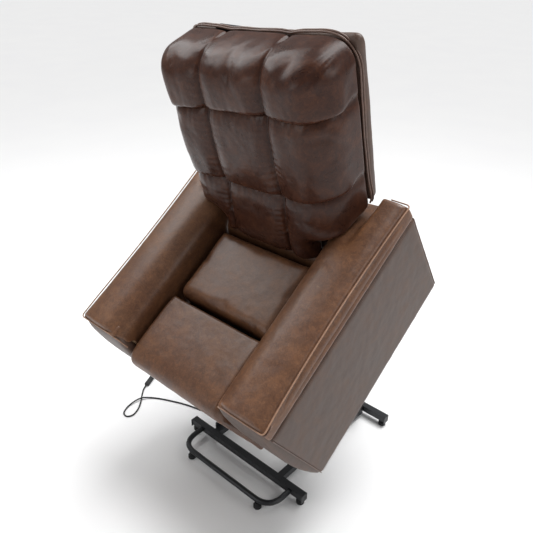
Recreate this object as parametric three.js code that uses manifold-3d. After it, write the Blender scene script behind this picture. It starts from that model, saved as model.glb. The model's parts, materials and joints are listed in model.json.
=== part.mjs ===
// A power lift recliner chair, raised and tipped forward: a steel base on feet, lift links, the
// upholstered chair body with its seat, arms, back and legrest, two linear actuators, a handset
// and the power lead. Millimetres, +Z up, the sitter faces -Y and the sitter's left is +X.
import * as THREE from 'three';
import { mergeVertices } from 'three/addons/utils/BufferGeometryUtils.js';
import Module from 'manifold-3d';

const wasm = await Module();
wasm.setup();

// ---- driving dimensions -------------------------------------------------------------------
const GAP = 0.3;                       // clearance between touching pieces
const CENTRE_Y = 105;                  // front crossbar to the middle of the whole object
const TILT = THREE.MathUtils.degToRad(34.94);          // the raised chair leans this far forward
const CHASSIS = { y: -95.94, z: 313.83 };              // front lower corner of the chair, raised

const BASE = { halfWidth: 310, tube: 28, top: 55, depth: 579, railX: 180, wall: 2 };
const LOOP = { halfWidth: 247, front: -127, radius: 11, bend: 78, z: 38, footX: 186 };
const FOOT = { radius: 16, inset: 17 };

const PIVOT_P = [520, 120];            // lift link on the base bracket
const PIVOT_Q = [530, 270];            // guide link on the base bracket
const PIVOT_A = [92, 40];              // lift link on the chair body (body y, z)
const PIVOT_B = [120, 120];            // guide link on the chair body (body y, z)
const LINK = { half: 20, guideHalf: 25, pin: 8, clearance: 0.4, loosePin: 5, looseHole: 19 };
const PLATE_X = { guide: [186, 192], bracket: [194.5, 200.5], lift: [202.5, 210.5], side: [222, 228],
  legRear: [172, 178], legFront: [164, 170], legLug: [156, 162] };
const TORQUE_TUBE = { along: 520, radius: 15 };

const ARM = { inner: 234, outer: 440, rear: 822, top: 505, strip: 428, lean: 21 };
const SEAT = { half: 230, front: 247, rear: 546, top: 412, bottom: 296 };
const PAD = { bendY: -35, top: 418, bottom: 40 };
const LEGREST = { pin: [28, 280], board: 14 };
const LEG_LINK = { chassis: [120, 260], elbow: [183, 123.9], half: 12, pin: 6 };
const BACK = { hinge: [690, 380], lean: THREE.MathUtils.degToRad(-16), half: 325, waist: 210 };

const LIFT_MOTOR = { pivot: [545, 78], rodEnd: [220, 160] };
const RECLINE_MOTOR = { pivot: [262, 225], lever: [730, 235], x: 90 };
const CORD_RADIUS = 3.25;
const COIL = { y: 240, x: -700, radius: 36, half: 6.5 };

// ---- materials ----------------------------------------------------------------------------
const finish = (color, roughness, metalness) =>
  new THREE.MeshStandardMaterial({ color, roughness, metalness });
const leather = finish(0x7a4f33, 0.45, 0);
const panelLeather = finish(0x5f4a40, 0.5, 0);
const blackSteel = finish(0x14161a, 0.4, 0.6);
const zincSteel = finish(0x9aa0a4, 0.35, 0.8);
const plywood = finish(0xb98f5e, 0.7, 0);
const blackPlastic = finish(0x1b1c1f, 0.5, 0);
const greyPlastic = finish(0x6d7176, 0.5, 0);
const rubber = finish(0x101012, 0.85, 0);

// ---- solids -------------------------------------------------------------------------------
function solid(geometry) {
  const bare = geometry.clone();
  bare.deleteAttribute('normal');
  bare.deleteAttribute('uv');
  const merged = mergeVertices(bare, 1e-3);
  const vertProperties = new Float32Array(merged.attributes.position.array);
  const triVerts = new Uint32Array(merged.index.array);
  return new wasm.Manifold(new wasm.Mesh({ numProp: 3, vertProperties, triVerts }));
}

function geometryOf(manifold) {
  const mesh = manifold.getMesh();
  const geometry = new THREE.BufferGeometry();
  geometry.setAttribute('position', new THREE.BufferAttribute(mesh.vertProperties, 3));
  geometry.setIndex(new THREE.BufferAttribute(mesh.triVerts, 1));
  geometry.computeVertexNormals();
  return geometry;
}

const join = (...parts) => geometryOf(parts.map(solid).reduce((a, b) => a.add(b)));
const cut = (part, ...tools) =>
  geometryOf(tools.map(solid).reduce((a, b) => a.subtract(b), solid(part)));

function add(group, name, geometry, material) {
  const mesh = new THREE.Mesh(geometry, material);
  mesh.name = name;
  group.add(mesh);
  return mesh;
}

function box(x0, x1, y0, y1, z0, z1) {
  const geometry = new THREE.BoxGeometry(x1 - x0, y1 - y0, z1 - z0);
  return geometry.translate((x0 + x1) / 2, (y0 + y1) / 2, (z0 + z1) / 2);
}

// A shape drawn in the (y, z) plane, extruded from x0 to x1.
function alongX(shape, x0, x1, curveSegments = 8) {
  const options = { depth: x1 - x0, bevelEnabled: false, curveSegments };
  const turn = new THREE.Matrix4().makeBasis(
    new THREE.Vector3(0, 1, 0), new THREE.Vector3(0, 0, 1), new THREE.Vector3(1, 0, 0));
  return new THREE.ExtrudeGeometry(shape, options).applyMatrix4(turn).translate(x0, 0, 0);
}

// A shape drawn in the (x, y) plane, extruded from z0 to z1.
function alongZ(shape, z0, z1, curveSegments = 8) {
  const options = { depth: z1 - z0, bevelEnabled: false, curveSegments };
  return new THREE.ExtrudeGeometry(shape, options).translate(0, 0, z0);
}

function outline(points) {
  return new THREE.Shape(points.map(([a, b]) => new THREE.Vector2(a, b)));
}

// A closed outline whose corners are rounded; each point is [a, b, radius].
function rounded(points) {
  const shape = new THREE.Shape();
  const corners = points.map(([a, b]) => new THREE.Vector2(a, b));
  points.forEach(([, , radius = 0], i) => {
    const here = corners[i];
    const before = corners[(i + points.length - 1) % points.length];
    const after = corners[(i + 1) % points.length];
    const enter = here.clone().add(before.clone().sub(here).setLength(Math.max(radius, 1e-6)));
    const leave = here.clone().add(after.clone().sub(here).setLength(Math.max(radius, 1e-6)));
    if (i === 0) shape.moveTo(radius ? enter.x : here.x, radius ? enter.y : here.y);
    else shape.lineTo(radius ? enter.x : here.x, radius ? enter.y : here.y);
    if (radius) shape.quadraticCurveTo(here.x, here.y, leave.x, leave.y);
  });
  return shape;
}

function circle(y, z, radius) {
  return new THREE.Path().absarc(y, z, radius, 0, 2 * Math.PI, false);
}

// A flat bar with round ends between two pivots in the (y, z) plane.
function bar(from, to, half, holes, x0, x1) {
  const angle = Math.atan2(to[1] - from[1], to[0] - from[0]);
  const shape = new THREE.Shape();
  shape.absarc(from[0], from[1], half, angle + Math.PI / 2, angle + 1.5 * Math.PI, false);
  shape.absarc(to[0], to[1], half, angle - Math.PI / 2, angle + Math.PI / 2, false);
  holes.forEach(([y, z, radius]) => shape.holes.push(circle(y, z, radius)));
  return alongX(shape, x0, x1);
}

// A round pin or tube parallel to X.
function pin(y, z, radius, x0, x1, sides = 20) {
  const geometry = new THREE.CylinderGeometry(radius, radius, x1 - x0, sides);
  return geometry.rotateZ(Math.PI / 2).translate((x0 + x1) / 2, y, z);
}

// The same piece on the sitter's left (side 1) or right (side -1).
const span = (side, [x0, x1]) => (side > 0 ? [x0, x1] : [-x1, -x0]);
const sideName = (side) => (side > 0 ? 'left' : 'right');
const bothSides = (build) => [1, -1].forEach(build);

// A round bar or tube that follows a curve.
function along(curve, radius, sides, steps) {
  const section = new THREE.Shape();
  for (let i = 0; i < sides; i += 1) {
    const angle = (2 * Math.PI * i) / sides;
    const point = [radius * Math.cos(angle), radius * Math.sin(angle)];
    if (i === 0) section.moveTo(...point);
    else section.lineTo(...point);
  }
  return new THREE.ExtrudeGeometry(section, { steps, extrudePath: curve, bevelEnabled: false });
}

// Straight runs joined by quadratic bends of one radius.
function bentPath(points, bend) {
  const path = new THREE.CurvePath();
  let start = points[0];
  for (let i = 1; i < points.length - 1; i += 1) {
    const enter = points[i].clone().add(points[i - 1].clone().sub(points[i]).setLength(bend));
    const leave = points[i].clone().add(points[i + 1].clone().sub(points[i]).setLength(bend));
    path.add(new THREE.LineCurve3(start, enter));
    path.add(new THREE.QuadraticBezierCurve3(enter, points[i], leave));
    start = leave;
  }
  path.add(new THREE.LineCurve3(start, points[points.length - 1]));
  return path;
}

// A point of the chair body, [y, z], in the base's coordinates.
function raised([y, z]) {
  const [c, s] = [Math.cos(TILT), Math.sin(TILT)];
  return [CHASSIS.y + c * y - s * z, CHASSIS.z + s * y + c * z];
}

const part = new THREE.Group();
part.position.y = -CENTRE_Y;
const chair = new THREE.Group();
chair.position.set(0, CHASSIS.y, CHASSIS.z);
chair.rotation.x = TILT;
part.add(chair);
const back = new THREE.Group();
back.position.set(0, ...BACK.hinge);
back.rotation.x = BACK.lean;
chair.add(back);

// ---- base frame ---------------------------------------------------------------------------
function squareTube(length) {
  const half = BASE.tube / 2;
  const inner = half - BASE.wall;
  const corners = (h) => [[-h, -h], [h, -h], [h, h], [-h, h]];
  const shape = outline(corners(half));
  shape.holes.push(new THREE.Path(corners(inner).map(([a, b]) => new THREE.Vector2(a, b))));
  return alongX(shape, -length / 2, length / 2);
}

function buildBase() {
  const mid = BASE.top - BASE.tube / 2;
  const half = BASE.tube / 2;
  const crossbar = () => squareTube(2 * BASE.halfWidth);
  add(part, 'front_crossbar', crossbar().translate(0, 0, mid), blackSteel);
  const ear = (side) => box(Math.min(side * 8, side * 13), Math.max(side * 8, side * 13),
    537, BASE.depth - half + 1, 50, 90);
  const bridge = box(-13, 13, BASE.depth - half - 8, BASE.depth - half + 1, 36, 54);
  const saddlePin = pin(...LIFT_MOTOR.pivot, 5, -9, 9);
  const rear = crossbar().translate(0, BASE.depth, mid);
  add(part, 'rear_crossbar', join(rear, ear(1), ear(-1), bridge, saddlePin), blackSteel);
  const railLength = BASE.depth - BASE.tube - 2 * GAP;
  bothSides((side) => {
    const rail = squareTube(railLength).rotateZ(Math.PI / 2);
    rail.translate(side * BASE.railX, BASE.depth / 2, mid);
    const edge = side * (BASE.railX + half);
    const lug = box(edge - 4, edge + 2, 22, 50, mid - 10, BASE.top + 25);
    add(part, `${sideName(side)}_side_rail`, side < 0 ? join(rail, lug) : rail, blackSteel);
  });
  const corner = (x, y) => new THREE.Vector3(x, y, LOOP.z);
  const path = bentPath([corner(-LOOP.halfWidth, -half - GAP), corner(-LOOP.halfWidth, LOOP.front),
    corner(LOOP.halfWidth, LOOP.front), corner(LOOP.halfWidth, -half - GAP)], LOOP.bend);
  add(part, 'front_stabiliser_loop', along(path, LOOP.radius, 12, 48), blackSteel);
  const feet = [
    ['loop', LOOP.footX, LOOP.front, LOOP.z - LOOP.radius],
    ['front', BASE.halfWidth - FOOT.inset, 0, BASE.top - BASE.tube],
    ['rear', BASE.halfWidth - FOOT.inset, BASE.depth, BASE.top - BASE.tube]];
  bothSides((side) => feet.forEach(([place, x, y, height]) => {
    const top = height - GAP;
    const profile = [[0, 0], [FOOT.radius - 2, 0], [FOOT.radius, 2], [FOOT.radius, top * 0.55],
      [FOOT.radius - 5, top * 0.75], [FOOT.radius - 5, top], [0, top]];
    const foot = new THREE.LatheGeometry(profile.map(([r, z]) => new THREE.Vector2(r, z)), 20);
    add(part, `${place}_foot_${sideName(side)}`,
      foot.rotateX(Math.PI / 2).translate(side * x, y, 0), rubber);
  }));
}

function buildRearBrackets() {
  const shape = () => outline([[462, 20], [558, 20], [560, 280], [545, 300], [515, 300], [480, 200]]);
  bothSides((side) => {
    const plate = shape();
    plate.holes.push(circle(...PIVOT_P, LINK.pin + LINK.clearance));
    plate.holes.push(circle(...PIVOT_Q, LINK.pin + LINK.clearance));
    const [x0, x1] = span(side, PLATE_X.bracket);
    add(part, `${sideName(side)}_rear_bracket`, alongX(plate, x0, x1), blackSteel);
  });
}

// ---- lift links ---------------------------------------------------------------------------
function buildLiftLinks() {
  const a = raised(PIVOT_A);
  const b = raised(PIVOT_B);
  bothSides((side) => {
    const stud = pin(...PIVOT_P, LINK.pin, ...span(side, [PLATE_X.guide[1] + 1.2, PLATE_X.lift[0] + 1]));
    const outer = pin(...a, LINK.pin, ...span(side, [PLATE_X.lift[1] - 1, PLATE_X.side[1] + 2]));
    const link = bar(PIVOT_P, a, LINK.half, [], ...span(side, PLATE_X.lift));
    add(part, `${sideName(side)}_lift_link`, join(link, stud, outer), blackSteel);
    const guideStud = pin(...PIVOT_Q, LINK.pin, ...span(side, [PLATE_X.guide[1] - 1, PLATE_X.bracket[1] + 0.8]));
    const guide = bar(PIVOT_Q, b, LINK.guideHalf, [[...b, LINK.looseHole]], ...span(side, PLATE_X.guide));
    add(part, `${sideName(side)}_guide_link`, join(guide, guideStud), zincSteel);
  });
  const length = Math.hypot(a[0] - PIVOT_P[0], a[1] - PIVOT_P[1]);
  const t = TORQUE_TUBE.along / length;
  const at = [PIVOT_P[0] + t * (a[0] - PIVOT_P[0]), PIVOT_P[1] + t * (a[1] - PIVOT_P[1])];
  const reach = PLATE_X.lift[0] - GAP;
  add(part, 'lift_torque_tube', pin(...at, TORQUE_TUBE.radius, -reach, reach, 24), blackSteel);
}

// ---- linear actuators ---------------------------------------------------------------------
// The housing holds the motor and gearbox at the pivot end; the rod slides out of its tube.
// A linear actuator. The rod's eye is slotted across by slot, because the far pin's arc is wider.
function buildActuator(group, prefix, x, pivot, end, { tubeLength, stroke, slot }) {
  const angle = Math.atan2(end[1] - pivot[1], end[0] - pivot[0]);
  const length = Math.hypot(end[0] - pivot[0], end[1] - pivot[1]);
  const place = (geometry) => geometry.rotateX(angle).translate(x, ...pivot);
  const tube = (radius, from, to, sides) =>
    new THREE.CylinderGeometry(radius, radius, to - from, sides).translate(0, (from + to) / 2, 0);
  const eye = (y, radius, half) => pin(y, 0, radius, -half, half);
  const motor = tube(21, 30, 130, 20).translate(0, 0, -36);
  const gearbox = box(-22, 22, 21, 66, -52, 20);
  const barrel = tube(16, 60, tubeLength, 20);
  const lug = join(eye(0, 12, 7), box(-7, 7, 0, 24, -10, 10));
  const rodStart = tubeLength - 140;
  const bore = tube(10.4, rodStart - stroke - 6, tubeLength + 1, 16);
  const housing = cut(join(motor, gearbox, barrel, lug), eye(0, 5.4, 9), bore);
  add(group, `${prefix}_actuator`, place(housing), blackPlastic);
  const slotted = (radius, half) => join(eye(length, radius, half), pin(length, -slot, radius, -half, half),
    box(-half, half, length - radius, length + radius, -slot, 0));
  const rod = join(tube(10, rodStart, length - 10, 16), slotted(13, 6.5));
  add(group, `${prefix}_actuator_rod`, place(cut(rod, slotted(6, 9))), zincSteel);
}

function buildActuators() {
  buildActuator(part, 'lift', 0, LIFT_MOTOR.pivot, raised(LIFT_MOTOR.rodEnd),
    { tubeLength: 455, stroke: 204, slot: 1 });
  buildActuator(chair, 'recline', RECLINE_MOTOR.x, RECLINE_MOTOR.pivot, RECLINE_MOTOR.lever,
    { tubeLength: 330, stroke: 100, slot: 9.5 });
}

// ---- power unit and lead ------------------------------------------------------------------
const CORD = [[-115, 275, 34], [-115, 256, 30.5], [-118, 235, 17], [-130, 205, 6], [-158, 172, 3.6],
  [-212, 140, 3.6], [-290, 112, 3.6], [-370, 88, 3.6], [-450, 64, 3.6], [-516, 36, 3.6],
  [-568, 10, 3.6], [-606, -18, 6], [-628, -50, 10.8], [-636, -90, 8], [-632, -130, 3.6],
  [-612, -163, 3.6], [-583, -166, 3.6], [-572, -138, 3.6], [-588, -100, 3.6], [-618, -62, 3.6],
  [-645, -36, 3.6], [-664, -16, 4.2], [-677.5, 1.3, 6.5], [-688, 24, 8]];
const CORD_END = [[-727.4, 109.4, 8], [-736, 134, 5.5], [-741, 165, 3.8], [-742.5, 200, 3.6],
  [-742.6, 222, 3.6]];
const vectors = (points) => points.map(([x, y, z]) => new THREE.Vector3(x, y, z));

function buildPower() {
  const unit = join(box(-152, -82, 300, 420, 18, 58), box(-165.4, -150, 330, 390, 28, 50));
  add(part, 'power_unit', unit, blackPlastic);
  const gland = [[0, 0], [8, 0], [8, 4], [6.2, 6], [4.4, 24], [3.6, 24], [3.6, 1], [0, 1]];
  const lathe = new THREE.LatheGeometry(gland.map(([r, z]) => new THREE.Vector2(r, z)), 16);
  add(part, 'lead_gland', lathe.rotateX(Math.PI).translate(-115, 300 - GAP, 34), rubber);
  const lead = new THREE.CatmullRomCurve3(vectors(CORD), false, 'centripetal');
  add(part, 'power_lead', along(lead, CORD_RADIUS, 8, 76), rubber);
  const connector = box(-11.5, 11.5, 0.8, 93, 0.4, 16.4);
  const [startX, startY] = CORD[CORD.length - 1];
  const heading = Math.atan2(startX - CORD_END[0][0], CORD_END[0][1] - startY);
  connector.rotateZ(heading).translate(startX, startY, 0);
  add(part, 'lead_connector', connector, blackPlastic);
  const tail = new THREE.CatmullRomCurve3(vectors(CORD_END), false, 'centripetal');
  add(part, 'lead_tail', along(tail, CORD_RADIUS, 8, 12), rubber);
  const ring = [[COIL.radius - COIL.half, 0.3], [COIL.radius + COIL.half, 0.3],
    [COIL.radius + COIL.half, 0.3 + 2 * COIL.half], [COIL.radius - COIL.half, 0.3 + 2 * COIL.half]];
  const closed = [...ring, ring[0]].map(([r, z]) => new THREE.Vector2(r, z));
  const coil = new THREE.LatheGeometry(closed, 32).rotateX(Math.PI / 2);
  add(part, 'lead_coil', coil.translate(COIL.x, COIL.y, 0), rubber);
  const blade = (y) => box(40, 60, y - 2.1, y + 2.1, 11, 15);
  const plug = join(box(0, 42, -19, 19, 0.4, 26), blade(-8), blade(8));
  add(part, 'mains_plug', plug.translate(-672, 300, 0), blackPlastic);
}

// ---- chair body ---------------------------------------------------------------------------
function sidePlate(side) {
  const shape = rounded([[66, 14, 20], [118, 14, 20], [250, 150, 30], [640, 150, 40], [716, 330, 20],
    [716, 404, 16], [664, 404, 16], [610, 286, 20], [100, 286, 14], [66, 120, 20]]);
  shape.holes.push(circle(...PIVOT_A, LINK.pin + LINK.clearance));
  shape.holes.push(circle(...BACK.hinge, LINK.pin + LINK.clearance));
  const plate = alongX(shape, ...span(side, PLATE_X.side));
  const guidePin = pin(...PIVOT_B, LINK.loosePin,
    ...span(side, [PLATE_X.guide[0] - 2, PLATE_X.side[0] + 1]));
  const legPin = pin(...LEG_LINK.chassis, LEG_LINK.pin,
    ...span(side, [PLATE_X.legRear[0] - 1.2, PLATE_X.side[0] + 1]));
  return join(plate, guidePin, legPin);
}

function buildChassis() {
  const reach = PLATE_X.side[0] - GAP;
  bothSides((side) => add(chair, `${sideName(side)}_side_plate`, sidePlate(side), blackSteel));
  const beam = box(-reach, reach, 200, 230, 222, 282);
  const liftEar = (x0) => box(x0, x0 + 5, 206, 234, 142, 224);
  const motorEar = (x0) => box(x0, x0 + 4, 228, 272, 214, 242);
  const motorPin = pin(...RECLINE_MOTOR.pivot, 5, RECLINE_MOTOR.x - 9, RECLINE_MOTOR.x + 9);
  const front = join(beam, liftEar(11), liftEar(-16), motorEar(RECLINE_MOTOR.x + 8),
    motorEar(RECLINE_MOTOR.x - 12), motorPin);
  add(chair, 'seat_front_crossmember', front, blackSteel);
  add(chair, 'seat_rear_crossmember', box(-reach, reach, 556, 584, 262, 282), blackSteel);
  [-1, 1].forEach((side) => {
    const points = [];
    const turns = 11;
    for (let i = 0; i <= turns; i += 1) {
      const y = THREE.MathUtils.lerp(206, 578, i / turns);
      points.push(new THREE.Vector3(side * 110 + (i % 2 ? 32 : -32), y, 285.2));
    }
    const wire = new THREE.CatmullRomCurve3(points, false, 'catmullrom', 0.9);
    add(chair, `${sideName(side)}_seat_spring`, along(wire, 2.2, 6, 66), zincSteel);
  });
  const panel = box(-ARM.inner + 6, ARM.inner - 6, 806, 818, 60, 300);
  add(chair, 'rear_panel', panel, panelLeather);
}

// ---- arms ---------------------------------------------------------------------------------
function armPad(side) {
  const [x0, x1] = span(side, [ARM.inner, ARM.outer]);
  const section = new THREE.Shape();
  const [inner, outer] = [side * (ARM.inner + 2), side * ARM.outer];
  const crown = 16;
  section.moveTo(inner, ARM.strip + GAP);
  section.lineTo(inner, ARM.top - 24);
  section.quadraticCurveTo(inner, ARM.top - 2, inner + side * 30, ARM.top);
  section.quadraticCurveTo(side * 350, ARM.top + crown, outer - side * 14, ARM.top - 8);
  section.lineTo(outer, ARM.top - 14);
  section.lineTo(outer, ARM.strip + GAP);
  const options = { depth: ARM.rear - 6, bevelEnabled: false, curveSegments: 6 };
  const pad = new THREE.ExtrudeGeometry(section, options).rotateX(Math.PI / 2);
  pad.translate(0, ARM.rear, 0);
  const low = 435;
  const notch = box(...span(side, [ARM.inner - 5, 352]), 706, ARM.rear + 2, low, ARM.top + 20);
  const rearTaper = box(x0 - 1, x1 + 1, ARM.rear - 4, ARM.rear + 2, ARM.top - 6, ARM.top + 20);
  return cut(pad, notch, rearTaper);
}

function buildArm(side) {
  const name = sideName(side);
  const frame = new THREE.Shape();
  const [inner, wall] = [side * (ARM.inner + 2), side * (ARM.inner + 20)];
  const reach = side * (ARM.outer - 26);
  const rear = ARM.rear - 4;
  [[inner, 24], [reach, 24], [reach, 42], [wall, 42], [wall, rear - 18], [reach, rear - 18],
    [reach, rear], [inner, rear]]
    .forEach(([x, y], i) => (i ? frame.lineTo(x, y) : frame.moveTo(x, y)));
  add(chair, `${name}_arm_frame`, alongZ(frame, 32, ARM.strip), plywood);
  const skin = rounded([[ARM.lean, 0, 6], [ARM.rear, 0, 6], [ARM.rear, ARM.strip, 4], [1, ARM.strip, 4]]);
  const [x0, x1] = span(side, [ARM.outer - 25.5, ARM.outer]);
  const face = outline([[ARM.lean, 2], [ARM.lean + 2.5, 2], [ARM.lean + 2.5, ARM.strip], [1, ARM.strip]]);
  const front = alongX(face, ...span(side, [ARM.inner, ARM.outer - 20]));
  add(chair, `${name}_arm_panel`, join(alongX(skin, x0, x1, 3), front), panelLeather);
  add(chair, `${name}_arm_pad`, armPad(side), leather);
}

// ---- seat and legrest ---------------------------------------------------------------------
function buildSeat() {
  const cushion = rounded([[SEAT.front + 6, SEAT.bottom, 20], [SEAT.rear, SEAT.bottom, 30],
    [SEAT.rear, SEAT.top, 40], [SEAT.front + 4, SEAT.top, 34]]);
  add(chair, 'seat_cushion', alongX(cushion, -SEAT.half, SEAT.half, 4), leather);
  const pad = rounded([[26, SEAT.bottom, 10], [SEAT.front, SEAT.bottom, 20], [SEAT.front, PAD.top - 4, 30],
    [PAD.bendY + 45, PAD.top, 36], [PAD.bendY + 2, 396, 10], [PAD.bendY + 6, 382, 4], [26, 378, 6]]);
  add(chair, 'seat_front_pad', alongX(pad, -SEAT.half, SEAT.half, 4), leather);
}

function buildLegrest() {
  const [pinY, pinZ] = LEGREST.pin;
  const board = box(-SEAT.half + 6, SEAT.half - 6, 0, LEGREST.board, PAD.bottom + 12, 372);
  const lugs = [1, -1].flatMap((side) => [
    box(...span(side, PLATE_X.legLug), LEGREST.board - 1, pinY + 10, pinZ - 12, pinZ + 11),
    pin(pinY, pinZ, LEG_LINK.pin, ...span(side, [PLATE_X.legLug[1] - 1, PLATE_X.legFront[1] + 0.8]))]);
  add(chair, 'legrest_board', join(board, ...lugs), plywood);
  const front = PAD.bendY - 3;
  const pad = rounded([[front + 10, PAD.bottom, 18], [-GAP, PAD.bottom, 6], [-GAP, 374, 4],
    [front + 4, 374, 14], [front, 220, 0]]);
  add(chair, 'legrest_pad', alongX(pad, -SEAT.half, SEAT.half, 4), leather);
  bothSides((side) => {
    const elbowPin = pin(...LEG_LINK.elbow, LEG_LINK.pin,
      ...span(side, [PLATE_X.legFront[0] - 1, PLATE_X.legRear[0] + 1]));
    const hole = LEG_LINK.pin + LINK.clearance;
    const rear = bar(LEG_LINK.chassis, LEG_LINK.elbow, LEG_LINK.half,
      [[...LEG_LINK.chassis, hole]], ...span(side, PLATE_X.legRear));
    add(chair, `${sideName(side)}_legrest_rear_link`, join(rear, elbowPin), zincSteel);
    const loose = hole + 1;
    add(chair, `${sideName(side)}_legrest_front_link`, bar(LEG_LINK.elbow, LEGREST.pin, LEG_LINK.half,
      [[...LEG_LINK.elbow, hole], [...LEGREST.pin, loose]], ...span(side, PLATE_X.legFront)), zincSteel);
  });
}

// ---- backrest, in its own frame: y to the rear, z up along the back, origin at the hinge ---
function buildBack() {
  const wingFloor = (y) => (136 - Math.sin(BACK.lean) * y) / Math.cos(BACK.lean);
  const wings = rounded([[-144, wingFloor(-144) + 4, 24], [63, wingFloor(63), 0], [63, 698, 6],
    [-62, 698, 26], [-101, 668, 20], [-128, 476, 0], [-147, 200, 0]]);
  const waist = rounded([[-96, -40, 40], [20, -40, 6], [20, 240, 0], [-147, 240, 0], [-148, 30, 30]]);
  const apron = rounded([[-98, -36, 30], [-62, -36, 0], [-62, 240, 0], [-147, 240, 0], [-148, 30, 30]]);
  const cushion = join(alongX(wings, -BACK.half, BACK.half, 4),
    alongX(waist, -BACK.waist, BACK.waist, 4), alongX(apron, -SEAT.half, SEAT.half, 4));
  add(back, 'back_cushion', cushion, leather);
  const floor = wingFloor(64.5);
  const shellShape = rounded([[64.5, floor, 0], [112, wingFloor(112), 8], [112, 690, 10], [64.5, 698, 0]]);
  const tail = rounded([[98, -30, 4], [112, -30, 6], [112, 220, 0], [98, 220, 0]]);
  const shell = join(alongX(shellShape, -BACK.half, BACK.half, 3), alongX(tail, -BACK.waist, BACK.waist, 3));
  const hollow = box(-BACK.half + 6, BACK.half - 6, 60, 106, wingFloor(106) + 8, 688);
  const throat = box(-BACK.waist - 14, BACK.waist + 14, 60, 97.8, 100, 300);
  add(back, 'back_rear_shell', cut(shell, hollow, throat), panelLeather);
  const upright = (side) => box(...span(side, [182, 206]), 68, 92, -8, 660);
  const rail = (z) => box(-200, 200, 68, 92, z, z + 24);
  const panel = box(-190, 190, 76, 84, -6, 650);
  const plate = (side) => alongX(rounded([[-18, -18, 14], [20, -20, 0], [92, 40, 6], [92, 190, 4],
    [68, 190, 4], [60, 90, 0], [-18, 20, 14]]), ...span(side, [213.5, 219.5]), 4);
  const filler = (side) => box(...span(side, [205, 214]), 70, 90, 50, 180);
  const hinge = (side) => pin(0, 0, LINK.pin, ...span(side, [218, PLATE_X.side[1] + 2]));
  const [c, s] = [Math.cos(-BACK.lean), Math.sin(-BACK.lean)];
  const lever = [RECLINE_MOTOR.lever[0] - BACK.hinge[0], RECLINE_MOTOR.lever[1] - BACK.hinge[1]];
  const local = [c * lever[0] - s * lever[1], s * lever[0] + c * lever[1]];
  const ear = (x0) => box(x0, x0 + 4, local[0] - 14, local[0] + 14, local[1] - 14, 0);
  const leverPin = pin(...local, 5, RECLINE_MOTOR.x - 13, RECLINE_MOTOR.x + 13);
  const frame = join(upright(1), upright(-1), rail(-8), rail(300), rail(636), panel, plate(1), plate(-1),
    filler(1), filler(-1), hinge(1), hinge(-1), ear(RECLINE_MOTOR.x + 11), ear(RECLINE_MOTOR.x - 15),
    leverPin);
  add(back, 'back_frame', frame, blackSteel);
}

// ---- handset in its pocket on the sitter's right ------------------------------------------
function buildHandset() {
  const face = -ARM.outer - GAP;
  const [y0, y1, z0, z1] = [196, 244, 232, 382];
  const body = new THREE.Shape();
  const r = 14;
  body.moveTo(y0 + r, z0);
  body.lineTo(y1 - r, z0).quadraticCurveTo(y1, z0, y1, z0 + r);
  body.lineTo(y1, z1 - r).quadraticCurveTo(y1, z1, y1 - r, z1);
  body.lineTo(y0 + r, z1).quadraticCurveTo(y0, z1, y0, z1 - r);
  body.lineTo(y0, z0 + r).quadraticCurveTo(y0, z0, y0 + r, z0);
  const well = (y, z) => pin(y, z, 6.5, face - 15, face - 9, 24);
  const spots = [['back_up', 208, 364], ['back_down', 232, 364], ['legs_up', 208, 340],
    ['legs_down', 232, 340]];
  const casing = cut(alongX(body, face - 14, face, 5), ...spots.map(([, y, z]) => well(y, z)));
  add(chair, 'handset_casing', casing, blackPlastic);
  spots.forEach(([name, y, z]) =>
    add(chair, `button_${name}`, pin(y, z, 6, face - 15.5, face - 11.5, 24), greyPlastic));
  const wall = box(face - 17, face - 14 - GAP, 186, 254, 222, 312);
  const bottom = box(face - 16, face, 186, 254, 222, 230);
  const cheek = (y) => box(face - 16, face, y, y + 6, 222, 312);
  add(chair, 'side_pocket', join(wall, bottom, cheek(186), cheek(248)), panelLeather);
  const gland = [[0, 0], [8, 0], [8, 3], [5, 12], [0, 12]].map(([a, b]) => new THREE.Vector2(a, b));
  add(chair, 'handset_gland', new THREE.LatheGeometry(gland, 16).rotateZ(Math.PI / 2)
    .translate(face, 290, 180), rubber);
}

buildBase();
buildRearBrackets();
buildLiftLinks();
buildActuators();
buildPower();
buildChassis();
bothSides(buildArm);
buildSeat();
buildLegrest();
buildBack();
buildHandset();

export default part;
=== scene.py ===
import json
import math

import bpy
import numpy as np
from mathutils import Matrix, Vector, noise


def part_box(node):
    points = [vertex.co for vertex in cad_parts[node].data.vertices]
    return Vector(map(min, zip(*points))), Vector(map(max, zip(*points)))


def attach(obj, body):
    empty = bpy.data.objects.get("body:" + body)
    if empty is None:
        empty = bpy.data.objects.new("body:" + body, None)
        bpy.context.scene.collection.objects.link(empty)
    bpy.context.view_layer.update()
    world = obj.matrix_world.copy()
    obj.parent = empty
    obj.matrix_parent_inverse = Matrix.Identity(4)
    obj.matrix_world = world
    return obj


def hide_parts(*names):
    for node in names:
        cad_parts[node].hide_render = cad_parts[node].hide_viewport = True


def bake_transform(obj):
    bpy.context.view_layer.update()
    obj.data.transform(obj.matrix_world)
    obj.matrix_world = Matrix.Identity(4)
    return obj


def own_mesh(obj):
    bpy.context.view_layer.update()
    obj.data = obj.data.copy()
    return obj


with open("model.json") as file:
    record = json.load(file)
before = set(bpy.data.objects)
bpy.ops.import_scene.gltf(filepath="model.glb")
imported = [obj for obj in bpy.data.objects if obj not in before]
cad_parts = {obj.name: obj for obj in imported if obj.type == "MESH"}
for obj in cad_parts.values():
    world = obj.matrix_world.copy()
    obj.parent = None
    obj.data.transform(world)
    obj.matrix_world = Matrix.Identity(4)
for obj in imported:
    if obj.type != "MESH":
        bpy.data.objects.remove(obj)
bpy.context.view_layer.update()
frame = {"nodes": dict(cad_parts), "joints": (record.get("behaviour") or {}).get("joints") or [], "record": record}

MM = 0.001

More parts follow.
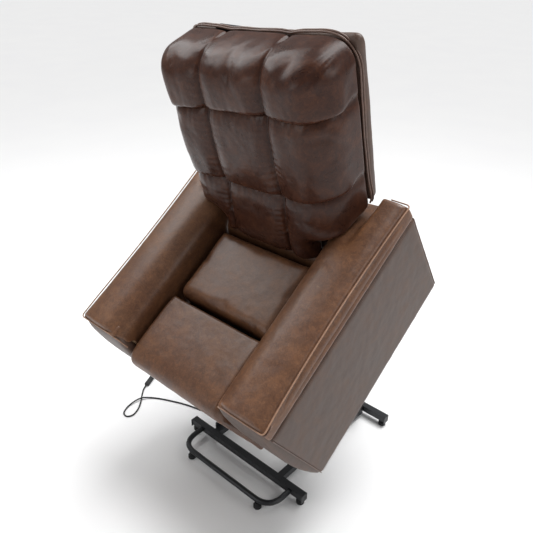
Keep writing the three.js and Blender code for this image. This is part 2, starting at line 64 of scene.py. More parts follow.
# ---- frames ---------------------------------------------------------------------------------
# The chair body's own axes at rest, from the record: x to the sitter's left, y to the rear and
# z up along the body, in millimetres from the front lower edge of the arms. The back's axes
# lean from those, with their origin at the recline hinge. Points are in millimetres in both.
JOINTS = {j["name"]: j for j in frame["joints"]}
X = Vector((1, 0, 0))
UP = Vector(JOINTS["handset_draw"]["axis"]).normalized()
REAR = UP.cross(X)
HINGE = Vector(JOINTS["recline"]["pos_m"])
HINGE_Y, HINGE_Z = 690, 380
CHAIR_ORIGIN = HINGE - REAR * HINGE_Y * MM - UP * HINGE_Z * MM
CENTRE_Y = 105           # the front crossbar is this far in front of the frame's origin
LEAN = math.radians(16)
BACK_UP = REAR * math.sin(LEAN) + UP * math.cos(LEAN)
BACK_REAR = REAR * math.cos(LEAN) - UP * math.sin(LEAN)


def to_world(points, origin, y_axis, z_axis):
    points = np.asarray(points, float).reshape(-1, 3) * MM
    axes = np.array([X, y_axis, z_axis])
    return np.array(origin) + points @ axes


def chair(points):
    return to_world(points, CHAIR_ORIGIN, REAR, UP)


def back(points):
    return to_world(points, HINGE, BACK_REAR, BACK_UP)


def floor(points):
    return np.asarray(points, float).reshape(-1, 3) * MM + np.array([0, -CENTRE_Y * MM, 0])


# ---- camera ---------------------------------------------------------------------------------
CAMERA_AT = Vector((1.25587, -1.38683, 1.91075))
AZIMUTH, ELEVATION, ROLL = 41.84, 28.69, 0.5
SENSOR, LENS = 36.0, 40.53


def make_camera():
    a, e, r = (math.radians(v) for v in (AZIMUTH, ELEVATION, ROLL))
    rearward = Vector((math.sin(a) * math.cos(e), -math.cos(a) * math.cos(e), math.sin(e)))
    right = (-rearward).cross(Vector((0, 0, 1))).normalized()
    above = right.cross(-rearward)
    right, above = (right * math.cos(r) + above * math.sin(r),
                    above * math.cos(r) - right * math.sin(r))
    data = bpy.data.cameras.new("camera")
    data.lens, data.sensor_width = LENS, SENSOR
    camera = bpy.data.objects.new("camera", data)
    bpy.context.scene.collection.objects.link(camera)
    axes = Matrix((right, above, rearward)).transposed().to_4x4()
    camera.matrix_world = Matrix.Translation(CAMERA_AT) @ axes
    bpy.context.scene.camera = camera


make_camera()

# ---- node materials -------------------------------------------------------------------------


class Shader:
    """A material and short calls for its nodes."""

    def __init__(self, name):
        self.material = bpy.data.materials.new(name)
        self.material.use_nodes = True
        self.tree = self.material.node_tree
        self.out = self.tree.nodes["Material Output"]
        self.surface = self.tree.nodes["Principled BSDF"]
        self.place = self.node("ShaderNodeTexCoord").outputs["Object"]

    def node(self, kind, **inputs):
        made = self.tree.nodes.new(kind)
        for key, value in inputs.items():
            self.plug(value, made.inputs[key.replace("_", " ")])
        return made

    def plug(self, value, socket):
        if isinstance(value, bpy.types.NodeSocket):
            self.tree.links.new(value, socket)
        else:
            socket.default_value = value

    def noise(self, scale, detail=4.0, roughness=0.55, distortion=0.0, stretch=None):
        place = self.place
        if stretch:
            mapping = self.node("ShaderNodeMapping", Vector=place)
            mapping.inputs["Scale"].default_value = stretch
            place = mapping.outputs["Vector"]
        made = self.node("ShaderNodeTexNoise", Vector=place, Scale=scale, Detail=detail,
                         Roughness=roughness, Distortion=distortion)
        return made.outputs["Fac"]

    def cells(self, scale, feature="F1", randomness=1.0):
        made = self.node("ShaderNodeTexVoronoi", Vector=self.place, Scale=scale,
                         Randomness=randomness)
        made.feature = feature
        return made.outputs["Distance"]

    def ramp(self, value, stops):
        made = self.node("ShaderNodeValToRGB", Fac=value)
        points = made.color_ramp.elements
        while len(points) < len(stops):
            points.new(0.5)
        for point, (at, colour) in zip(points, stops):
            point.position = at
            point.color = (*colour, 1)
        return made.outputs["Color"]

    def mix(self, share, a, b, blend="MIX"):
        made = self.tree.nodes.new("ShaderNodeMix")
        made.data_type, made.blend_type = "RGBA", blend
        for value, socket in ((share, made.inputs[0]), (a, made.inputs[6]), (b, made.inputs[7])):
            self.plug((*value, 1) if isinstance(value, tuple) else value, socket)
        return made.outputs[2]

    def maths(self, operation, a, b):
        made = self.tree.nodes.new("ShaderNodeMath")
        made.operation = operation
        self.plug(a, made.inputs[0])
        self.plug(b, made.inputs[1])
        return made.outputs[0]

    def span(self, value, low, high):
        made = self.node("ShaderNodeMapRange", Value=value)
        made.inputs["To Min"].default_value = low
        made.inputs["To Max"].default_value = high
        return made.outputs["Result"]

    def bump(self, height, strength, distance, under=None):
        made = self.node("ShaderNodeBump", Height=height, Strength=strength, Distance=distance)
        if under is not None:
            self.tree.links.new(under, made.inputs["Normal"])
        return made.outputs["Normal"]

    def finish(self, colour, roughness, normal=None, **fixed):
        self.plug(colour, self.surface.inputs["Base Color"])
        self.plug(roughness, self.surface.inputs["Roughness"])
        if normal is not None:
            self.plug(normal, self.surface.inputs["Normal"])
        for key, value in fixed.items():
            self.surface.inputs[key.replace("_", " ")].default_value = value
        return self.material


def leather(name, dark, middle, warm, pale, gloss=0.42, wear=0.5, shine=0.5, mottle=0.42,
            crease=0.22):
    """Pull-up leather: rubbed pale patches over a mottled body, with a fine pebbled grain."""
    s = Shader(name)
    broad = s.noise(4.0, 3.0, 0.5, 0.4)
    clouds = s.noise(17.0, 6.0, 0.66, 0.7)
    flecks = s.noise(88.0, 6.0, 0.72, 1.2)
    body = s.ramp(clouds, [(0.24, dark), (0.50, middle), (0.66, warm), (0.82, middle)])
    fibre = s.ramp(flecks, [(0.34, dark), (0.50, middle), (0.62, warm), (0.74, pale)])
    body = s.mix(mottle, body, fibre)
    rubbed = s.maths("MULTIPLY", s.span(broad, -0.35, 1.1), s.span(flecks, 0.1, 1.2))
    body = s.mix(s.maths("MULTIPLY", rubbed, wear), body, pale)
    # Pointiness lightens convex edges as wear, and darkens hollows such as the tuck seams as painted shade.
    edge = s.node("ShaderNodeNewGeometry").outputs["Pointiness"]
    edge_wear_and_crease_shade = s.ramp(edge, [(at, (grey,) * 3) for at, grey in ((0.44, 0.0), (0.5, 0.5), (0.57, 1.0))])
    body = s.mix(0.5, body, edge_wear_and_crease_shade, "SOFT_LIGHT")
    pebbles = s.cells(360.0, "DISTANCE_TO_EDGE", 0.9)
    pores = s.noise(420.0, 2.0, 0.6)
    grain = s.maths("ADD", s.maths("MINIMUM", pebbles, 0.2), s.maths("MULTIPLY", pores, 0.25))
    fine = s.bump(grain, 0.12, 0.0005)
    creased = s.bump(s.noise(70.0, 4.0, 0.6, 1.2), crease, 0.0016, fine)
    rough = s.span(clouds, gloss - 0.07, gloss + 0.13)
    return s.finish(body, rough, creased, Specular_IOR_Level=shine, Coat_Weight=0.04,
                    Coat_Roughness=0.3)


def coated_steel():
    s = Shader("black_coated_steel")
    speck = s.noise(260.0, 3.0, 0.6)
    tone = s.ramp(s.noise(9.0, 4.0), [(0.35, (0.008, 0.009, 0.011)), (0.7, (0.017, 0.018, 0.021))])
    return s.finish(tone, s.span(speck, 0.32, 0.5), s.bump(speck, 0.12, 0.0004),
                    Metallic=0.25, Coat_Weight=0.12, Coat_Roughness=0.3)


def zinc_steel():
    s = Shader("zinc_plated_steel")
    brushed = s.noise(120.0, 4.0, 0.6, 0.0, stretch=(8.0, 1.0, 1.0))
    tone = s.ramp(brushed, [(0.3, (0.36, 0.37, 0.38)), (0.7, (0.56, 0.57, 0.57))])
    return s.finish(tone, s.span(brushed, 0.28, 0.46), s.bump(brushed, 0.06, 0.0003), Metallic=0.9)


def plywood():
    s = Shader("plywood")
    rings = s.noise(26.0, 6.0, 0.6, 1.5, stretch=(1.0, 0.15, 1.0))
    tone = s.ramp(rings, [(0.3, (0.28, 0.17, 0.09)), (0.55, (0.46, 0.31, 0.18)),
                          (0.8, (0.58, 0.42, 0.26))])
    return s.finish(tone, 0.72, s.bump(rings, 0.2, 0.0006))


def moulded(name, colour, roughness):
    s = Shader(name)
    speck = s.noise(480.0, 2.0)
    shade = tuple(c * 0.75 for c in colour)
    tone = s.ramp(s.noise(22.0, 3.0), [(0.35, shade), (0.65, colour)])
    return s.finish(tone, s.span(speck, roughness - 0.06, roughness + 0.08),
                    s.bump(speck, 0.14, 0.0003))


def lining_cloth():
    s = Shader("black_lining_cloth")
    warp = s.node("ShaderNodeTexWave", Vector=s.place, Scale=260.0).outputs["Fac"]
    fuzz = s.noise(140.0, 3.0)
    tone = s.ramp(s.maths("MULTIPLY", warp, fuzz),
                  [(0.1, (0.010, 0.010, 0.011)), (0.6, (0.035, 0.034, 0.035))])
    return s.finish(tone, 0.9, s.bump(warp, 0.3, 0.0004), Sheen_Weight=0.2)


LEATHER = leather("mottled_leather", (0.040, 0.014, 0.008), (0.094, 0.038, 0.018),
                  (0.158, 0.064, 0.025), (0.240, 0.138, 0.072), gloss=0.36, wear=0.40,
                  shine=0.4)
# The chair's leather again, made much darker: painted shade for the back's front face, which turns down, away from
# the overhead light.
SHADED_BACK_LEATHER = leather("back_leather_painted_shade", (0.013, 0.0046, 0.0034), (0.036, 0.0122, 0.0074),
                       (0.072, 0.0245, 0.0112), (0.108, 0.052, 0.030), gloss=0.27, wear=0.24,
                       shine=0.22)
PANEL_LEATHER = leather("panel_leather", (0.046, 0.027, 0.020), (0.074, 0.045, 0.034),
                        (0.094, 0.052, 0.035), (0.116, 0.080, 0.060), gloss=0.44, wear=0.16,
                        shine=0.3, mottle=0.2, crease=0.1)
TAN_PIPING = leather("tan_piping", (0.13, 0.065, 0.038), (0.21, 0.11, 0.065), (0.27, 0.14, 0.08),
                     (0.36, 0.22, 0.145), gloss=0.4)
DARK_PIPING = leather("dark_piping", (0.030, 0.014, 0.010), (0.070, 0.036, 0.026),
                      (0.11, 0.055, 0.036), (0.20, 0.13, 0.095), gloss=0.36)
STEEL, ZINC, PLY = coated_steel(), zinc_steel(), plywood()
BLACK_PLASTIC = moulded("black_plastic", (0.022, 0.022, 0.024), 0.45)
GREY_PLASTIC = moulded("grey_plastic", (0.30, 0.31, 0.33), 0.5)
RUBBER = moulded("black_rubber", (0.012, 0.012, 0.013), 0.75)
LINING = lining_cloth()
NODE_FINISH = {"black_steel": STEEL, "zinc_steel": ZINC, "plywood": PLY, "leather": LEATHER,
               "panel_leather": PANEL_LEATHER, "black_plastic": BLACK_PLASTIC,
               "grey_plastic": GREY_PLASTIC, "rubber": RUBBER}


def dress_cad_nodes():
    for row in frame["record"]["subparts"]:
        mesh = frame["nodes"][row["node"]].data
        mesh.materials.clear()
        mesh.materials.append(NODE_FINISH[row["material_slot"]])


dress_cad_nodes()

# ---- meshes ---------------------------------------------------------------------------------


def mesh_piece(name, points, faces, material, smooth=True):
    mesh = bpy.data.meshes.new(name)
    mesh.from_pydata([tuple(p) for p in points], [], faces)
    mesh.validate()
    mesh.materials.append(material)
    if smooth:
        mesh.shade_smooth()
    piece = bpy.data.objects.new(name, mesh)
    bpy.context.scene.collection.objects.link(piece)
    return piece


def points_of(piece):
    flat = np.empty(len(piece.data.vertices) * 3)
    piece.data.vertices.foreach_get("co", flat)
    return flat.reshape(-1, 3)


def set_points(piece, points):
    piece.data.vertices.foreach_set("co", np.asarray(points).ravel())
    piece.data.update()


def normals_of(piece):
    flat = np.empty(len(piece.data.vertices) * 3)
    piece.data.vertices.foreach_get("normal", flat)
    return flat.reshape(-1, 3)


def apply_modifiers(piece):
    evaluated = piece.evaluated_get(bpy.context.evaluated_depsgraph_get())
    mesh = bpy.data.meshes.new_from_object(evaluated)
    piece.modifiers.clear()
    piece.data = mesh
    mesh.shade_smooth()


def subdivide(piece, levels=1):
    modifier = piece.modifiers.new("smooth", "SUBSURF")
    modifier.levels = modifier.render_levels = levels
    apply_modifiers(piece)


def lattice_box(low, high, near, far, step, fullness=2.0):
    """A closed box of quads with rounded edges.

    near and far are the radii at the low and high sides. Above 2, fullness squares them up.
    """
    low, high, near, far = (np.array(v, float) for v in (low, high, near, far))
    counts = np.maximum(2, np.ceil((high - low) / step).astype(int))
    index, points = {}, []

    def vertex(key):
        if key not in index:
            index[key] = len(points)
            points.append(low + (high - low) * np.array(key) / counts)
        return index[key]

    faces = []
    for axis in range(3):
        u, v = (axis + 1) % 3, (axis + 2) % 3
        for end in (0, counts[axis]):
            for i in range(counts[u]):
                for j in range(counts[v]):
                    ring = []
                    for di, dj in ((0, 0), (1, 0), (1, 1), (0, 1)):
                        key = [0, 0, 0]
                        key[axis], key[u], key[v] = int(end), i + di, j + dj
                        ring.append(vertex(tuple(key)))
                    faces.append(ring if end else ring[::-1])
    points = np.array(points)
    core = np.clip(points, low + near, high - far)
    away = points - core
    radii = np.where(away < 0, near, far)
    unit = away / radii
    length = (np.abs(unit) ** fullness).sum(1, keepdims=True) ** (1 / fullness)
    length[length < 1e-9] = 1
    return core + unit / length * radii, faces


def smoothstep(value, low, high):
    t = np.clip((value - low) / (high - low), 0, 1)
    return t * t * (3 - 2 * t)


def inflate(piece, cap, pressure=4.0, frames=20, cloth=True):
    """Blows the closed skin up as cloth, and lets no point move further than cap, in metres.
    """
    start = points_of(piece)
    if not cloth:
        set_points(piece, start + normals_of(piece) * cap * 0.8)
        return
    modifier = piece.modifiers.new("cloth", "CLOTH")
    settings = modifier.settings
    settings.quality = 4
    settings.mass = 0.4
    settings.tension_stiffness = settings.compression_stiffness = 12
    settings.bending_stiffness = 0.6
    settings.use_pressure = True
    settings.uniform_pressure_force = pressure
    settings.effector_weights.gravity = 0
    modifier.point_cache.frame_start, modifier.point_cache.frame_end = 1, frames
    scene = bpy.context.scene
    for step in range(1, frames + 1):
        scene.frame_set(step)
    apply_modifiers(piece)
    scene.frame_set(1)
    move = points_of(piece) - start
    far = np.linalg.norm(move, axis=1, keepdims=True)
    set_points(piece, start + move * np.minimum(1, cap / np.maximum(far, 1e-9)))


def ripple(points, scale, amount, seed):
    """A smooth signed wobble for each point, amount in the points' own unit."""
    shift = Vector((seed * 3.1, seed * 1.7, seed * 2.3))
    return np.array([amount * noise.fractal(Vector(p) * scale + shift, 1.0, 2.0, 3)
                     for p in points])


def wrinkle(piece, amount=0.0012, scale=28.0, seed=1):
    points = points_of(piece)
    set_points(piece, points + normals_of(piece) * ripple(points, scale, amount, seed)[:, None])


def ring_faces(rings, sides):
    """Quads between neighbouring rings of points, and a face over each end."""
    faces = []
    for a in range(0, (rings - 1) * sides, sides):
        b = a + sides
        faces += [[a + k, a + (k + 1) % sides, b + (k + 1) % sides, b + k] for k in range(sides)]
    faces += [list(range(sides))[::-1], list(range((rings - 1) * sides, rings * sides))]
    return faces


def tube(name, path, radius, material, sides=10):
    """A round cord or piping through the given world points, as a mesh with closed ends."""
    path = np.asarray(path, float)
    count = len(path)
    ahead = np.roll(path, -1, 0) - np.roll(path, 1, 0)
    ahead[0], ahead[-1] = path[1] - path[0], path[-1] - path[-2]
    ahead /= np.linalg.norm(ahead, axis=1, keepdims=True)
    side = np.cross(ahead[0], (0.0, 0.3, 1.0))
    turn = np.arange(sides) * 2 * math.pi / sides
    rings = []
    for point, direction in zip(path, ahead):
        side = side - direction * (side @ direction)
        side /= np.linalg.norm(side)
        over = np.cross(direction, side)
        rings.append(point + radius * (np.cos(turn)[:, None] * side + np.sin(turn)[:, None] * over))
    return mesh_piece(name, np.concatenate(rings), ring_faces(count, sides), material)


def catmull(points, per=8):
    """A smooth run of points through the given ones."""
    p = np.asarray(points, float)
    q = np.concatenate([2 * p[:1] - p[1:2], p, 2 * p[-1:] - p[-2:-1]])
    out = []
    for i in range(len(p) - 1):
        a, b, c, d = q[i:i + 4]
        for t in np.arange(per) / per:
            out.append(0.5 * (2 * b + (c - a) * t + (2 * a - 5 * b + 4 * c - d) * t ** 2
                              + (3 * b - 3 * c + d - a) * t ** 3))
    out.append(p[-1])
    return np.array(out)


def rounded_path(points, radius, arc=6):
    """Straight runs with quadratic bends of the given radius."""
    p = [np.array(v, float) for v in points]
    out = [p[0]]
    for before, here, after in zip(p, p[1:], p[2:]):
        enter = here + (before - here) / np.linalg.norm(before - here) * radius
        leave = here + (after - here) / np.linalg.norm(after - here) * radius
        for t in np.linspace(0, 1, arc):
            out.append((1 - t) ** 2 * enter + 2 * t * (1 - t) * here + t * t * leave)
    out.append(p[-1])
    return np.array(out)


def label_of(side):
    return "left" if side > 0 else "right"


def even(path, step):
    """The same path with points a step apart."""
    path = np.asarray(path, float)
    run = np.r_[0, np.cumsum(np.linalg.norm(np.diff(path, axis=0), axis=1))]
    at = np.linspace(0, run[-1], max(2, int(round(run[-1] / step)) + 1))
    return np.column_stack([np.interp(at, run, path[:, k]) for k in range(3)])


# ---- power lead -----------------------------------------------------------------------------
CORD_D = 6.5 * MM
CORD = [[-115, 275, 34], [-115, 256, 30.5], [-118, 235, 17], [-130, 205, 6], [-158, 172, 3.6],
        [-212, 140, 3.6], [-290, 112, 3.6], [-370, 88, 3.6], [-450, 64, 3.6], [-516, 36, 3.6],
        [-568, 10, 3.6], [-606, -18, 6], [-628, -50, 10.8], [-636, -90, 8], [-632, -130, 3.6],
        [-612, -163, 3.6], [-583, -166, 3.6], [-572, -138, 3.6], [-588, -100, 3.6],
        [-618, -62, 3.6], [-645, -36, 3.6], [-664, -16, 4.2], [-677.5, 1.3, 6.5], [-688, 24, 8]]
CORD_END = [[-727.4, 109.4, 8], [-736, 134, 5.5], [-741, 165, 3.8], [-742.5, 200, 3.6],
            [-742.2, 222, 3.6]]
PLUG_AT = [-672, 300, 0]
PLUG_TAIL = [[-716, 278, 10.4], [-700, 291, 11.5], [-684, 298.6, 12.8], [-672.4, 300, 13.2]]
COIL_X, COIL_Y, COIL_TURNS = -700, 240, [(39.25, 3.6), (32.75, 3.6), (32.75, 10.1), (39.25, 10.1)]


def coil_points():
    """Clockwise turns from the left side, each with its radius and height, easing to the next."""
    per = 20
    out = []
    for turn, (radius, height) in enumerate(COIL_TURNS):
        following = COIL_TURNS[min(turn + 1, len(COIL_TURNS) - 1)]
        last = turn == len(COIL_TURNS) - 1
        for k in range(per + (3 if last else 0)):
            ease = smoothstep(k / per, 0.7, 1.0)
            r = radius + (following[0] - radius) * ease
            z = height + (following[1] - height) * ease
            a = math.pi - 2 * math.pi * k / per
            out.append([COIL_X + r * math.cos(a), COIL_Y + r * math.sin(a), z])
    return out


def cord_curve(name, points):
    data = bpy.data.curves.new(name, "CURVE")
    data.dimensions = "3D"
    data.bevel_depth, data.bevel_resolution, data.use_fill_caps = CORD_D / 2, 4, True
    spline = data.splines.new("POLY")
    spline.points.add(len(points) - 1)
    for point, place in zip(spline.points, points):
        point.co = (*place, 1)
    data.materials.append(RUBBER)
    piece = bpy.data.objects.new(name, data)
    bpy.context.scene.collection.objects.link(piece)
    return piece


def build_lead():
    first = floor(catmull(CORD, 6))
    lead = cord_curve("power_lead_run", first)
    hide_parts("power_lead")
    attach(lead, "base")
    second = floor(catmull(CORD_END + coil_points() + PLUG_TAIL, 3))
    rest = cord_curve("power_lead_coiled", second)
    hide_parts("lead_tail", "lead_coil")
    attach(rest, "base")
    connector = build_connector()
    plug = build_plug()
    gland = build_gland()


def lathe(name, profile, place, material, sides=28):
    """A turned piece: profile is (along, radius) pairs; place turns (along, a, b) rows to world."""
    turn = np.arange(sides) * 2 * math.pi / sides
    rows = [np.column_stack([np.full(sides, s), r * np.cos(turn), r * np.sin(turn)])
            for s, r in profile]
    faces = []
    for i in range(len(profile) - 1):
        a, b = i * sides, (i + 1) * sides
        faces += [[a + k, b + k, b + (k + 1) % sides, a + (k + 1) % sides] for k in range(sides)]
    last = (len(profile) - 1) * sides
    faces += [list(range(sides)), list(range(last, last + sides))[::-1]]
    return mesh_piece(name, place(np.concatenate(rows)), faces, material)


def build_gland():
    ribs = [(0, 8.0), (3.5, 8.0), (4.2, 6.4)]
    for k in range(6):
        ribs += [(5 + 3 * k, 6.3 - 0.35 * k), (6.6 + 3 * k, 6.3 - 0.35 * k),
                 (6.8 + 3 * k, 5.3 - 0.28 * k), (7.8 + 3 * k, 5.3 - 0.28 * k)]
    ribs.append((24, 3.8))

    def place(p):
        return floor(np.column_stack([p[:, 1] - 115, 299.7 - p[:, 0], p[:, 2] + 34]))

    gland = lathe("lead_strain_relief", ribs, place, RUBBER)
    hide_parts("lead_gland")
    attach(gland, "base")
    return gland


def build_connector():
    start, end = np.array(CORD[-1][:2]), np.array(CORD_END[0][:2])
    along = (end - start) / np.linalg.norm(end - start)
    across = np.array([along[1], -along[0]])
    half_width, half_height, mid = 11.3, 7.9, 8.4
    profile, length = [], np.linalg.norm(end - start) - 1.2
    for t in np.linspace(0, 1, 61):
        rib = 0.9 * (math.cos(2 * math.pi * t * 15) > 0)
        end_round = 1 - 0.45 * (abs(2 * t - 1) > 0.93)
        seam = 1.6 * (abs(t - 0.5) < 0.012)
        profile.append((0.6 + t * length, end_round, rib + seam))
    sides, rings = 28, []
    for s, scale, inset in profile:
        for k in range(sides):
            a = 2 * math.pi * k / sides
            c, v = math.cos(a), math.sin(a)
            wide = (half_width * scale - inset) * math.copysign(abs(c) ** 0.5, c)
            high = (half_height * scale - inset) * math.copysign(abs(v) ** 0.5, v)
            spot = start + along * s + across * wide
            rings.append([spot[0], spot[1], mid + high])
    connector = mesh_piece("lead_inline_connector", floor(rings), ring_faces(len(profile), sides),
                           BLACK_PLASTIC, smooth=False)
    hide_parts("lead_connector")
    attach(connector, "base")
    return connector


def build_plug():
    points, faces = lattice_box([0, -18.5, 0.6], [42, 18.5, 25.8], [8, 7, 6], [3, 7, 6], 2.2)
    taper = smoothstep(points[:, 0], 0, 26)
    points[:, 1] *= 0.55 + 0.45 * taper
    points[:, 2] = 13.2 + (points[:, 2] - 13.2) * (0.6 + 0.4 * taper)
    ribbed = (np.cos(points[:, 0] * 1.9) > 0) * (points[:, 0] < 24)
    points[:, 1] += 0.7 * np.sign(points[:, 1]) * ribbed
    plug = mesh_piece("two_pin_plug", floor(points + PLUG_AT), faces, BLACK_PLASTIC)
    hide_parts("mains_plug")
    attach(plug, "base")
    for side in (-1, 1):
        pts, quads = lattice_box([41, side * 8 - 2.1, 11], [60, side * 8 + 2.1, 15], [0.1, 1, 1],
                                 [2, 1, 1], 1.5)
        blade = mesh_piece(f"plug_blade_{label_of(side)}", floor(pts + PLUG_AT), quads, ZINC)
        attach(blade, "base")
    return plug


build_lead()

# ---- soft goods -----------------------------------------------------------------------------


def from_world(points, origin, y_axis, z_axis):
    return (np.asarray(points) - np.array(origin)) @ np.array([X, y_axis, z_axis]).T / MM


def upholster(name, points, faces, material, body, nodes=(), cap=6.0, pressure=4.0,
              wrinkles=0.0006, seed=1):
    """Makes a padded piece: inflated, as cloth if it is thick, subdivided and creased."""
    piece = mesh_piece(name, points, faces, material)
    inflate(piece, cap * MM, pressure, cloth=cap >= 4)
    subdivide(piece)
    wrinkle(piece, wrinkles, 26.0, seed)
    if nodes:
        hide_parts(*nodes)
    if body:
        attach(piece, body)
    return piece


def hard(piece, body, *nodes, slot=None):
    if nodes:
        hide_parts(*nodes)
    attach(piece, body)
    return piece


def stitches(name, path, body, material, step=6.0, length=4.2, radius=0.42):
    """A row of thread stitches along world points, as one mesh of small spindles."""
    path = even(path, step * MM)
    points, faces = [], []
    ring = np.array([(1, 0), (0, 1), (-1, 0), (0, -1)]) * radius * MM
    for a, b in zip(path[:-1], path[1:]):
        along = (b - a) / np.linalg.norm(b - a)
        side = np.cross(along, (0.21, 0.43, 0.88))
        side /= np.linalg.norm(side)
        over = np.cross(along, side)
        tips = (a, a + along * length * MM)
        first = len(points)
        for share in (0.22, 0.78):
            centre = tips[0] + (tips[1] - tips[0]) * share
            points += [centre + side * p + over * q for p, q in ring]
        points += list(tips)
        for k in range(4):
            m = (k + 1) % 4
            faces += [[first + k, first + m, first + 4 + m, first + 4 + k],
                      [first + m, first + k, first + 8], [first + 4 + k, first + 4 + m, first + 9]]
    return hard(mesh_piece(name, points, faces, material), body)


# ---- back: three tucked rows between two seams ------------------------------------------------
TUCK_HIGH = ((-330, 475), (-141, 499), (13, 514), (133, 521), (330, 526))
TUCK_LOW = ((-330, 226), (-120, 238), (60, 241), (197, 247), (330, 261))
SEAM_RIGHT = ((0, -150), (225, -126), (245, -132), (505, -134), (700, -135))
SEAM_LEFT = ((0, 108), (225, 122), (250, 121), (505, 117), (700, 118))


def follow(value, table):
    return np.interp(value, [a for a, _ in table], [b for _, b in table])


def tuck(points):
    """Presses the seams into the stuffed back, rolls each row over the next and adds puckers."""
    x, y, z = points.T
    front = smoothstep(-y, -30, 42) * smoothstep(z, -44, -14)
    sides = smoothstep(-y, -62, -20) * (1 - front)
    high, low = follow(x, TUCK_HIGH), follow(x, TUCK_LOW)
    bottom = np.where(z > high, high, np.where(z > low, low, -60.0))
    top = np.where(z > high, 715.0, np.where(z > low, high, low))
    share = np.clip((z - bottom) / (top - bottom), 0, 1)
    above, below = z - bottom, top - z
    tucked_above = bottom > 0
    tucked_below = top < 700
    gap = np.minimum(np.abs(x - follow(z, SEAM_RIGHT)), np.abs(x - follow(z, SEAM_LEFT)))
    cell = np.minimum(1.0, gap / 60.0)
    reach = smoothstep(352 - np.abs(x), -10, 90)
    out = (6 + 14 * np.sin(math.pi * share ** 0.6)) * (0.66 + 0.34 * smoothstep(cell, 0, 1)) * reach
    held = 0.45 + 0.55 * smoothstep(352 - np.abs(x), 6, 70)
    out -= np.where(tucked_above, 38 * np.exp(-(above / 9.5) ** 1.8), 0) * held
    over_seam = 14 * np.exp(-(below / 13) ** 1.4) + 8 * np.exp(-(below / 40) ** 2)
    out -= np.where(tucked_below, over_seam, 0) * held
    seam = 11 * np.exp(-(gap / 4.6) ** 1.7) + 8 * np.exp(-(gap / 22) ** 1.5)
    out -= seam
    wobble = ripple(points * MM, 9.0, 1.0, 4)
    pucker = np.cos(2 * math.pi * (z / 21 + 0.35 * wobble) + np.sign(x) * gap / 26)
    out += 1.2 * pucker * np.exp(-gap / 24) * (1 - np.exp(-gap / 7))
    gather = np.cos(2 * math.pi * (x / 27 + 0.9 * wobble))
    out += np.where(tucked_above, 1.1 * gather * np.exp(-above / 20), 0)
    out += np.where(tucked_below, 1.4 * gather * np.exp(-below / 28), 0)
    corner = np.hypot(np.abs(x) - 326, z - 690)
    angle = np.arctan2(690 - z, 326 - np.abs(x))
    out += 3.6 * np.cos(angle * 15 + 2 * wobble) * np.exp(-corner / 58) * smoothstep(corner, 4, 40)
    out += 2.4 * ripple(points * MM, 7.5, 1.0, 9) + 1.2 * ripple(points * MM, 22.0, 1.0, 6)
    sag = np.where(tucked_above, 19 * (above / 15) * np.exp(1 - above / 15), 0)
    bent = points.copy()
    bent[:, 1] -= out * front
    over_top = smoothstep(z, 640, 672) * (1 - front) * smoothstep(62 - y, 0, 16)
    bent[:, 2] -= sag * front + (0.8 * seam - 3) * over_top
    waist = np.where(tucked_above, np.exp(-(above / 12) ** 2), 0) + np.where(
        tucked_below, np.exp(-(below / 22) ** 2), 0)
    pull = (8 * waist * smoothstep(np.abs(x), 230, 300)) * (front + sides)
    bent[:, 0] -= np.sign(x) * pull
    return bent


def wing_floor(y):
    """The wings' lower faces, which stay clear of the arms as the back reclines."""
    return 90 + (y + 128) / 191 * 25


def slant(x, z):
    """The stuffing sits a little higher towards the sitter's left."""
    return z + (0.055 * x - 6) * smoothstep(z, 150, 690)


def back_shape(points):
    """Fits the box to the back: leaning front, wings above the arms and a narrow waist."""
    x, y, z = points.T
    deep = (62 - y) / 184      # 0 at the rear seam, 1 at the front
    front_line = np.interp(z, [-40, 182, 476, 681], [-121, -122, -114, -92])
    rear_line = 20 + 42 * smoothstep(z, 100, 134)
    y_new = rear_line + deep * (front_line - rear_line)
    floor_z = wing_floor(y_new)
    wing = smoothstep(z, floor_z - 6, floor_z + 10)
    narrow = np.interp(y_new, [-66, -52], [224, 203])
    narrow = narrow + 72 * smoothstep(-y_new, 56, 70) * smoothstep(z, 42, 112)
    widen = np.interp(z, [100, 300, 500, 695], [-2, 8, 17, 20])
    widen = widen + np.where(x < 0, 26, 10) * smoothstep(deep, 0.25, 0.8)
    half = narrow + (325 + widen - narrow) * wing
    return np.column_stack([x * half / 325, y_new, slant(x, z)])


def outline(points, centre_z, angles, depth, band=9.0):
    """Furthest reach of the mesh at each angle, seen along the back's own y axis."""
    near = points[np.abs(points[:, 1] - depth) < band]
    turn = np.arctan2(near[:, 2] - centre_z, near[:, 0])
    far = np.hypot(near[:, 0], near[:, 2] - centre_z)
    reach = []
    for a in angles:
        gap = np.abs((turn - a + math.pi) % (2 * math.pi) - math.pi)
        reach.append(far[gap < 0.035].max())
    reach = np.convolve(np.pad(reach, 2, "edge"), [0.15, 0.2, 0.3, 0.2, 0.15], "valid")
    return np.column_stack([reach * np.cos(angles), reach * np.sin(angles) + centre_z])


